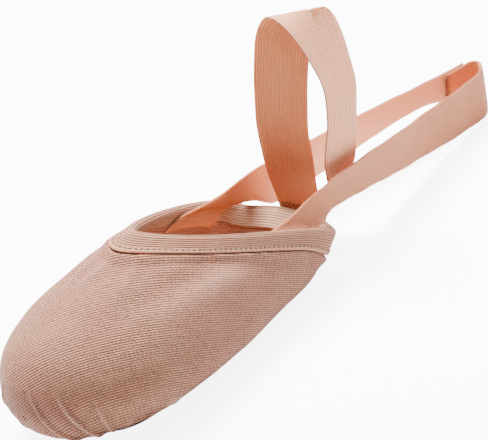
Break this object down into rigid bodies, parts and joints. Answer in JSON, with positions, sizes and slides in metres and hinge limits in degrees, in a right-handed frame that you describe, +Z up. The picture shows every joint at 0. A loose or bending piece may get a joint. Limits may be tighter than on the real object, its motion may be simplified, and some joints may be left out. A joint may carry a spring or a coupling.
{
  "type": "half sole dance shoe",
  "caption": "Soft half sole dance shoe: a stretch canvas forefoot pouch with a bound open collar, suede patch, heel sling and instep loop.",
  "frame": {"origin": "middle of the sole's rest face, on the floor", "axes": "+X to the toe, +Y to the wearer's left, +Z up"},
  "size_m": [0.2916, 0.077, 0.1063],
  "materials": {
    "upper": "ribbed stretch canvas, matte",
    "collar_binding": "ribbed elastic binding, matte",
    "outsole": "brushed suede, dark brown",
    "insole": "brushed cotton lining, matte",
    "heel_strap_left": "ribbed woven elastic",
    "heel_strap_right": "ribbed woven elastic",
    "instep_loop": "ribbed woven elastic"
  },
  "bodies": {
    "root": {"upper": "upper", "collar_binding": "collar_binding", "outsole": "outsole", "insole": "insole", "heel_strap_left": "heel_strap_left", "heel_strap_right": "heel_strap_right", "instep_loop": "instep_loop"}
  },
  "joints": []
}
